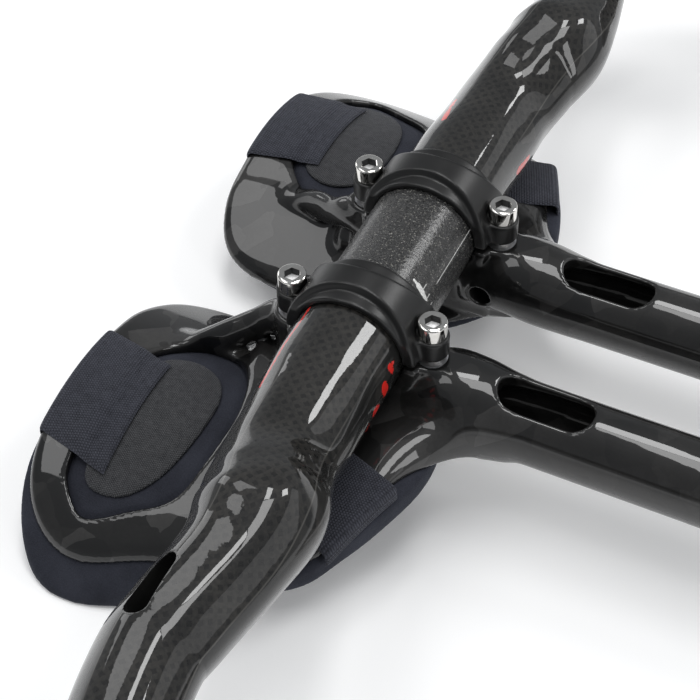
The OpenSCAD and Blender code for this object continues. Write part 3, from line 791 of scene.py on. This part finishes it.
class Shader:
    def __init__(self, name):
        self.material = bpy.data.materials.new(name)
        self.material.use_nodes = True
        self.nodes = self.material.node_tree.nodes
        self.links = self.material.node_tree.links
        self.nodes.clear()
        out = self.nodes.new("ShaderNodeOutputMaterial")
        self.principled = self.nodes.new("ShaderNodeBsdfPrincipled")
        self.links.new(self.principled.outputs[0], out.inputs[0])

    def put(self, socket, value, node=None):
        target = (node or self.principled).inputs[socket]
        if hasattr(value, "is_output"):
            self.links.new(value, target)
        elif isinstance(value, (tuple, list)) and len(value) == 3 and target.type == "RGBA":
            target.default_value = (*value, 1)
        else:
            target.default_value = value

    def fill(self, node, **values):
        for key, value in values.items():
            self.put(key.replace("_", " "), value, node)

    def set(self, **values):
        self.fill(self.principled, **values)

    def attribute(self, name):
        n = self.nodes.new("ShaderNodeAttribute")
        n.attribute_name = name
        return n.outputs["Vector"]

    def position(self):
        return self.nodes.new("ShaderNodeTexCoord").outputs["Object"]

    def split(self, vector):
        n = self.nodes.new("ShaderNodeSeparateXYZ")
        self.links.new(vector, n.inputs[0])
        return n.outputs[0], n.outputs[1], n.outputs[2]

    def math(self, kind, a, b=0.0, c=None, clamp=False):
        n = self.nodes.new("ShaderNodeMath")
        n.operation = kind
        n.use_clamp = clamp
        self.put(0, a, n)
        self.put(1, b, n)
        if c is not None:
            self.put(2, c, n)
        return n.outputs[0]

    def plus(self, a, b):
        return self.math("ADD", a, b)

    def minus(self, a, b, clamp=False):
        return self.math("SUBTRACT", a, b, clamp=clamp)

    def times(self, a, b):
        return self.math("MULTIPLY", a, b)

    def noise(self, vector, scale, detail=2.0, rough=0.5):
        n = self.nodes.new("ShaderNodeTexNoise")
        self.fill(n, Vector=vector, Scale=scale, Detail=detail, Roughness=rough)
        return n.outputs[0]

    def cells(self, vector, scale):
        n = self.nodes.new("ShaderNodeTexVoronoi")
        self.fill(n, Vector=vector, Scale=scale)
        return n

    def ramp(self, value, stops):
        n = self.nodes.new("ShaderNodeValToRGB")
        self.put(0, value, n)
        e = n.color_ramp.elements
        while len(e) < len(stops):
            e.new(0.5)
        for item, (at, colour) in zip(e, stops):
            item.position = at
            item.color = (*colour, 1) if isinstance(colour, tuple) else (colour, colour, colour, 1)
        return n.outputs[0]

    def mix(self, share, a, b):
        n = self.nodes.new("ShaderNodeMix")
        n.data_type = "RGBA"
        self.put(0, share, n)
        self.put(6, a, n)
        self.put(7, b, n)
        return n.outputs[2]

    def step(self, value, low, high):
        """0 below low and 1 above high, smooth between."""
        n = self.nodes.new("ShaderNodeMapRange")
        n.interpolation_type = "SMOOTHSTEP"
        self.fill(n, Value=value, From_Min=low, From_Max=high)
        return n.outputs[0]

    def band(self, value, low, high, soft):
        """1 between low and high, and 0 outside."""
        return self.times(self.step(value, low - soft, low), self.step(value, high + soft, high))

    def bump(self, height, strength, distance, normal=None):
        n = self.nodes.new("ShaderNodeBump")
        self.fill(n, Height=height, Strength=strength, Distance=distance)
        if normal is not None:
            self.links.new(normal, n.inputs["Normal"])
        return n.outputs[0]


def twill(s, u, v, tow):
    """How light each tow of the weave is, and its rounded crown."""
    a = s.math("DIVIDE", u, tow)
    b = s.math("DIVIDE", v, tow)
    odd_a = s.math("FLOORED_MODULO", s.math("FLOOR", a), 2.0)
    odd_b = s.math("FLOORED_MODULO", s.math("FLOOR", b), 2.0)
    light = s.minus(1.0, s.times(odd_a, odd_b))
    fa = s.math("ABSOLUTE", s.minus(s.math("FRACT", a), 0.5))
    fb = s.math("ABSOLUTE", s.minus(s.math("FRACT", b), 0.5))
    crown = s.minus(1.0, s.plus(s.times(fa, fa), s.times(fb, fb)))
    return light, crown


def marble(s, position, scale):
    """Patches of cut fibre, each with its own tint."""
    pull = s.noise(position, 90.0, 2.0)
    moved = s.nodes.new("ShaderNodeVectorMath")
    moved.operation = "MULTIPLY_ADD"
    s.links.new(pull, moved.inputs[0])
    moved.inputs[1].default_value = (0.012, 0.012, 0.012)
    s.links.new(position, moved.inputs[2])
    chips = s.cells(moved.outputs[0], scale)
    grey, _, _ = s.split(chips.outputs["Color"])
    return grey


def brush_marks(s, u, v, marks):
    """1 inside painted strokes, each given by its two ends and its half width."""
    total = None
    for u0, v0, u1, v1, half in marks:
        du, dv = u1 - u0, v1 - v0
        pu = s.minus(u, u0)
        pv = s.minus(v, v0)
        dot = s.plus(s.times(pu, du), s.times(pv, dv))
        t = s.math("DIVIDE", dot, du * du + dv * dv, clamp=True)
        ou = s.minus(pu, s.times(t, du))
        ov = s.minus(pv, s.times(t, dv))
        far = s.math("SQRT", s.plus(s.times(ou, ou), s.times(ov, ov)))
        inside = s.step(far, half + 0.08, half - 0.08)
        total = inside if total is None else s.math("MAXIMUM", total, inside)
    return total


RED_STROKES = [
    (-37, -20, -38.4, -20.6, 0.6), (-38.5, -21.8, -38.9, -19.8, 0.9), (-43.2, -25, -43.6, -23, 1.7),
    (-48.7, -27.3, -50.1, -26.3, 1.75), (-54, -28.8, -54.8, -28.6, 1), (-34, 12.6, -62, 13.8, 0.6),
    (51, 9.4, 56, 10.6, 1.1), (58.5, 11.2, 62, 12.2, 1.1), (51.5, -24, 59, -24.8, 1.3)]
WHITE_STROKES = [
    (-13.0, -11.4, -13.3, -13.4, 0.4), (-13.3, -13.4, -13.6, -15.8, 0.9), (-13.6, -15.8, -13.9, -18.2, 0.7),
    (-13.9, -18.2, -14.3, -21, 0.3), (-12.6, -15.3, -10.6, -15.3, 0.13), (-13.2, -18.2, -11.4, -18.2, 0.13),
    (-13.4, -21, -11.8, -21, 0.13), (-6.8, -18.4, 17, -18.4, 0.13)]
CLOTH_FRONT, CLOTH_REAR = -16.1, 7.2


def lacquer(s, colour):
    """Carbon under a clear, glossy coat."""
    s.set(Base_Color=colour, Roughness=0.5, Metallic=0.0, Specular_IOR_Level=0.15,
          Coat_Weight=1.0, Coat_Roughness=0.03, Coat_IOR=1.5)


def bar_carbon():
    s = Shader("bar_carbon")
    along, around, faceted = s.split(s.attribute("wrap"))
    position = s.position()
    diagonal_u = s.times(s.plus(along, around), 0.7071)
    diagonal_v = s.times(s.minus(along, around), 0.7071)
    fray = s.noise(position, 1100.0, 2.0)
    cloud = s.noise(position, 60.0, 3.0)
    pull = s.times(s.noise(position, 420.0, 2.0), 1.1)
    lightness, crown = twill(s, s.plus(diagonal_u, pull), s.minus(diagonal_v, pull), 1.3)
    tows = s.plus(s.times(lightness, 0.24), s.times(s.plus(fray, cloud), 0.48))
    cloth = s.ramp(tows, [
        (0.38, (0.001, 0.001, 0.001)), (0.62, (0.007, 0.0067, 0.0061)), (0.9, (0.026, 0.024, 0.021))])
    chips = marble(s, position, 150.0)
    blotch = s.times(s.plus(chips, cloud), 0.5)
    plain = s.ramp(blotch, [
        (0.25, (0.002, 0.002, 0.002)), (0.55, (0.007, 0.0069, 0.0063)), (0.8, (0.022, 0.0205, 0.0187))])
    woven = s.band(around, CLOTH_FRONT, CLOTH_REAR, 0.25)
    colour = s.mix(woven, plain, cloth)
    # A lighter line along both creases where the weave band ends, stronger where the section is faceted: a
    # painted highlight on the crease edges.
    crease_highlight_front = s.band(around, CLOTH_FRONT - 0.3, CLOTH_FRONT, 0.15)
    crease_highlight_rear = s.band(around, CLOTH_REAR, CLOTH_REAR + 0.3, 0.15)
    crease_highlight = s.times(s.math("MAXIMUM", crease_highlight_front, crease_highlight_rear), s.times(faceted, 0.7))
    colour = s.mix(crease_highlight, colour, (0.075, 0.072, 0.066))
    ragged = s.times(s.minus(s.noise(position, 1300.0, 2.0), 0.5), 1.6)
    red = brush_marks(s, s.plus(along, ragged), s.plus(around, ragged), RED_STROKES)
    colour = s.mix(red, colour, (0.62, 0.018, 0.012))
    lacquer(s, colour)
    ripple = s.bump(s.noise(position, 150.0, 3.0), 0.1, 0.0005)
    s.put("Normal", s.bump(s.times(crown, woven), 0.12, 0.0002, ripple))
    s.put("Coat Normal", ripple)
    return s.material


def grit():
    s = Shader("clamp_grit")
    along, around, _ = s.split(s.attribute("wrap"))
    position = s.position()
    chips = s.cells(position, 2500.0)
    shade, size, _ = s.split(chips.outputs["Color"])
    cloud = s.noise(position, 900.0, 3.0)
    sparkle = s.times(s.step(shade, 0.82, 1.0), s.step(chips.outputs["Distance"], 0.6, 0.35))
    base = s.ramp(cloud, [(0.35, 0.003), (0.7, 0.012)])
    colour = s.mix(sparkle, base, (0.3, 0.29, 0.26))
    white = brush_marks(s, along, around, WHITE_STROKES)
    s.set(Base_Color=s.mix(white, colour, (0.8, 0.8, 0.78)),
          Roughness=s.ramp(size, [(0.0, 0.22), (1.0, 0.5)]),
          Specular_IOR_Level=0.6, Coat_Weight=0.6, Coat_Roughness=0.2, Coat_IOR=1.5)
    s.put("Normal", s.bump(s.plus(chips.outputs["Distance"], cloud), 1.0, 0.00035))
    s.put("Coat Normal", s.bump(cloud, 0.35, 0.00025))
    return s.material


def extension_carbon():
    s = Shader("extension_carbon")
    position = s.position()
    chips = marble(s, position, 95.0)
    cloud = s.noise(position, 45.0, 3.0)
    fibre = s.noise(position, 900.0, 2.0)
    x, _, _ = s.split(position)
    fade = s.minus(0.5, s.times(s.step(x, 0.03, 0.07), 0.33))
    blotch = s.math("MULTIPLY_ADD", s.minus(chips, 0.5), fade, 0.45)
    clouded = s.math("MULTIPLY_ADD", s.minus(cloud, 0.5), 0.5, blotch)
    value = s.plus(clouded, s.times(s.minus(fibre, 0.5), 0.12))
    lacquer(s, s.ramp(value, [
        (0.3, (0.003, 0.003, 0.003)), (0.52, (0.011, 0.0105, 0.01)), (0.74, (0.036, 0.035, 0.034))]))
    ripple = s.bump(s.noise(position, 70.0, 2.0), 0.08, 0.0008)
    s.put("Normal", ripple)
    s.put("Coat Normal", ripple)
    return s.material


def cap_black():
    s = Shader("cap_black")
    position = s.position()
    grain = s.noise(position, 2600.0, 3.0)
    s.set(Base_Color=s.ramp(s.noise(position, 120.0, 3.0), [(0.3, 0.006), (0.7, 0.011)]), Metallic=0.0,
          Roughness=s.ramp(grain, [(0.3, 0.32), (0.7, 0.38)]), Specular_IOR_Level=0.4)
    s.put("Normal", s.bump(grain, 0.015, 0.0001))
    return s.material


def bolt_steel():
    s = Shader("bolt_steel")
    position = s.position()
    wear = s.noise(position, 260.0, 3.0)
    s.set(Base_Color=s.ramp(wear, [(0.3, (0.62, 0.6, 0.57)), (0.7, (0.8, 0.79, 0.76))]), Metallic=1.0,
          Roughness=s.ramp(wear, [(0.3, 0.06), (0.7, 0.11)]))
    s.put("Normal", s.bump(wear, 0.02, 0.0001))
    return s.material


# Steel in a given dark or light tone: painted shade for the socket's wall and painted light for its floor.
def lit_or_shaded_steel(name, dark, light):
    s = Shader(name)
    wear = s.noise(s.position(), 900.0, 3.0)
    s.set(Base_Color=s.ramp(wear, [(0.3, dark), (0.7, light)]), Metallic=1.0,
          Roughness=s.ramp(wear, [(0.3, 0.45), (0.7, 0.55)]))
    s.put("Normal", s.bump(wear, 0.05, 0.0001))
    return s.material


def insert_metal():
    s = Shader("insert_metal")
    wear = s.noise(s.position(), 700.0, 3.0)
    s.set(Base_Color=(0.7, 0.7, 0.72), Metallic=1.0, Roughness=s.ramp(wear, [(0.3, 0.3), (0.7, 0.5)]))
    return s.material


def pad_foam():
    s = Shader("pad_foam")
    position = s.position()
    nap = s.noise(position, 2600.0, 3.0, 0.7)
    cloud = s.noise(position, 90.0, 3.0)
    shade = s.times(s.plus(nap, cloud), 0.5)
    s.set(Base_Color=s.ramp(shade, [(0.3, (0.012, 0.013, 0.019)), (0.7, (0.038, 0.041, 0.055))]),
          Roughness=0.9, Specular_IOR_Level=0.25,
          Sheen_Weight=0.1, Sheen_Roughness=0.4, Sheen_Tint=(0.45, 0.5, 0.65))
    s.put("Normal", s.bump(nap, 0.5, 0.0004))
    return s.material


def knit(name, pitch_u, pitch_v, dark, light, coords):
    s = Shader(name)
    if coords == "cloth":
        u, v, _ = s.split(s.attribute("cloth"))
    else:
        x, y, _ = s.split(s.position())
        u = s.times(x, 1000.0)
        v = s.times(y, 1000.0)
    wobble = s.noise(s.position(), 500.0, 2.0)
    row = s.math("DIVIDE", u, pitch_u)
    shift = s.times(s.math("FLOORED_MODULO", s.math("FLOOR", row), 2.0), 0.5)
    col = s.plus(s.math("DIVIDE", v, pitch_v), shift)
    fu = s.minus(s.math("FRACT", row), 0.5)
    fv = s.minus(s.math("FRACT", col), 0.5)
    round_stitch = s.math("SQRT", s.plus(s.times(fu, fu), s.times(fv, fv)))
    height = s.minus(1.0, s.times(round_stitch, 1.7), clamp=True)
    fuzz = s.noise(s.position(), 2200.0, 2.0)
    # Colour follows the stitch height that also drives the bump, light on each crown and dark at each
    # stitch's rim: painted shade between the stitches, with random tone from the noise.
    shade = s.plus(s.times(height, 0.5), s.times(s.plus(wobble, fuzz), 0.4))
    s.set(Base_Color=s.ramp(shade, [(0.2, dark), (0.85, light)]), Roughness=0.85,
          Specular_IOR_Level=0.3, Sheen_Weight=0.12, Sheen_Roughness=0.35, Sheen_Tint=(0.6, 0.62, 0.72))
    s.put("Normal", s.bump(height, 0.8, 0.0005))
    return s.material


BAR = bar_carbon()
GRIT = grit()
EXTENSION = extension_carbon()
CAP = cap_black()
STEEL = bolt_steel()
SHADED_SOCKET_WALL = lit_or_shaded_steel("socket_wall_painted_shade", 0.05, 0.1)
LIT_SOCKET_FLOOR = lit_or_shaded_steel("socket_floor_painted_light", 0.75, 0.9)
METAL = insert_metal()
FOAM = pad_foam()
LOOP = knit("loop_fabric", 0.55, 0.6, (0.009, 0.0095, 0.012), (0.085, 0.086, 0.09), "position")
STRAP = knit("strap_knit", 0.8, 0.75, (0.006, 0.0065, 0.01), (0.06, 0.063, 0.08), "cloth")

# Building the pieces

verts, faces, wrap = bar_mesh()
bar = make_object("bar", verts, faces, [BAR, GRIT])
cut_ports(bar)
tree = KDTree(len(verts))
for number, point in enumerate(verts):
    tree.insert(point, number)
tree.balance()
store(bar, "wrap", [wrap[tree.find(v)[1]] for v in vertices(bar).tolist()])
centres = np.empty(len(bar.data.polygons) * 3, np.float32)
bar.data.polygons.foreach_get("center", centres)
gritty = (np.abs(centres.reshape(-1, 3)[:, 1]) < EXT_Y * MM).astype(np.int32)
bar.data.polygons.foreach_set("material_index", gritty)
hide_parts("base_bar")
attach(bar, "root")


def both_sides(name, node, built, material, cloth=None):
    """Makes the right-hand piece and its mirror image, each in place of its CAD node."""
    right = make_object("right_" + name, built[0], built[1], [material])
    if cloth is not None:
        store(right, "cloth", cloth)
    left = mirrored(right, "left_" + name)
    for side, obj in (("right", right), ("left", left)):
        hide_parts(side + "_" + node)
        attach(obj, "root")


both_sides("carbon_extension", "extension", extension_mesh(), EXTENSION)
both_sides("cap", "clamp_cap", cap_mesh(), CAP)
both_sides("pad", "arm_pad", pad_mesh(), FOAM)
both_sides("patch", "loop_patch", patch_mesh(), LOOP)
strap = rear_strap_mesh()
both_sides("wide_strap", "rear_strap", strap[:2], STRAP, cloth=strap[2])
strap = front_strap_mesh()
both_sides("narrow_strap", "front_strap", strap[:2], STRAP, cloth=strap[2])

screw_verts, screw_faces, screw_parts = bolt_mesh()
for side, y in (("right", EXT_Y), ("left", -EXT_Y)):
    for place, x in (("front", BOLT_X), ("rear", -BOLT_X)):
        screw = make_object(side + "_" + place + "_screw", screw_verts + [x, y, 0], screw_faces,
                            [STEEL, SHADED_SOCKET_WALL, LIT_SOCKET_FLOOR])
        screw.data.polygons.foreach_set("material_index", screw_parts)
        screw.data.set_sharp_from_angle(angle=math.radians(32))
        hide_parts(side + "_" + place + "_bolt")
        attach(screw, "root")

for name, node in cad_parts.items():
    if "insert" in name:
        node.data.materials.clear()
        node.data.materials.append(METAL)

# Floor, lights and camera

def floor_material():
    s = Shader("floor")
    s.set(Base_Color=(0.95, 0.95, 0.95), Roughness=0.6, Specular_IOR_Level=0.2,
          Emission_Color=(1, 1, 1), Emission_Strength=0.12)
    return s.material


span = 3000
corners = [[x * span, y * span, FLOOR_Z] for x, y in ((-1, -1), (1, -1), (1, 1), (-1, 1))]
floor = make_object("floor", corners, [(0, 1, 2, 3)], [floor_material()], smooth=False)

world = bpy.data.worlds.new("studio")
bpy.context.scene.world = world
world.use_nodes = True
ambient = world.node_tree.nodes["Background"].inputs
ambient["Color"].default_value = (0.93, 0.96, 1.0, 1)
ambient["Strength"].default_value = 0.3


def softbox(name, direction, distance, size, radiance):
    """A rectangular lamp that faces the object and looks equally bright whatever its size."""
    light = bpy.data.lights.new(name, "AREA")
    light.shape = "RECTANGLE"
    light.size, light.size_y = size
    light.energy = math.pi * radiance * size[0] * size[1]
    obj = bpy.data.objects.new(name, light)
    bpy.context.scene.collection.objects.link(obj)
    d = np.array(direction, float)
    d /= np.linalg.norm(d)
    side = np.cross([0, 0, 1], d)
    side = side / np.linalg.norm(side) if np.linalg.norm(side) > 1e-3 else np.array([1.0, 0, 0])
    up = np.cross(d, side)
    m = np.eye(4)
    m[:3, 0], m[:3, 1], m[:3, 2], m[:3, 3] = side, up, d, d * distance
    obj.matrix_world = Matrix(m.tolist())


def toward(azimuth, elevation):
    """A direction from its angle to +X around the vertical and its height over the horizon, in degrees."""
    az, el = math.radians(azimuth), math.radians(elevation)
    return [math.cos(az) * math.cos(el), math.sin(az) * math.cos(el), math.sin(el)]


softbox("front_right", toward(51, 41), 1.6, (0.34, 0.44), 12)
softbox("front_left", toward(-20, 34), 1.6, (0.24, 1.0), 4.5)
softbox("front_fill", toward(20, 18), 1.9, (2.4, 0.55), 0.7)
softbox("far", toward(106, 69), 1.6, (0.26, 0.45), 10)
softbox("rear", toward(148, 57), 1.6, (0.32, 0.34), 2.6)
softbox("rear_low", toward(158, 20), 1.6, (0.42, 0.8), 2.4)
softbox("left", toward(-158, 60), 1.6, (0.9, 0.62), 2.9)
softbox("above", toward(20, 84), 1.6, (0.7, 0.6), 6)

# The photo's camera: angles in degrees, focal length and position in pixels, distance in millimetres
AZIMUTH = -27.469
ELEVATION = 48.775
ROLL = -2.013
FOCAL = 1592.4
CLAMP_PIXEL = (399.5, 268.05)
DISTANCE = 457.5
IMAGE = 700


def place_camera():
    az, el, roll = (math.radians(v) for v in (AZIMUTH, ELEVATION, ROLL))
    look = np.array([math.sin(az) * math.cos(el), math.cos(az) * math.cos(el), -math.sin(el)])
    right = np.cross(look, [0, 0, 1])
    right /= np.linalg.norm(right)
    down = np.cross(look, right)
    c, s = math.cos(roll), math.sin(roll)
    rows = np.array([c * right - s * down, s * right + c * down, look])
    across, under = ((pixel - IMAGE / 2) / FOCAL for pixel in CLAMP_PIXEL)
    offset = np.array([across, under, 1]) * DISTANCE
    m = np.eye(4)
    m[:3, 0], m[:3, 1], m[:3, 2] = rows[0], -rows[1], -rows[2]
    m[:3, 3] = -rows.T @ offset * MM
    data = bpy.data.cameras.new("camera")
    data.sensor_width = 36
    data.lens = FOCAL / IMAGE * data.sensor_width
    data.clip_start, data.clip_end = 0.01, 20
    camera = bpy.data.objects.new("camera", data)
    bpy.context.scene.collection.objects.link(camera)
    camera.matrix_world = Matrix(m.tolist())
    bpy.context.scene.camera = camera


place_camera()
bpy.context.scene.view_settings.view_transform = "Standard"

bpy.context.view_layer.update()
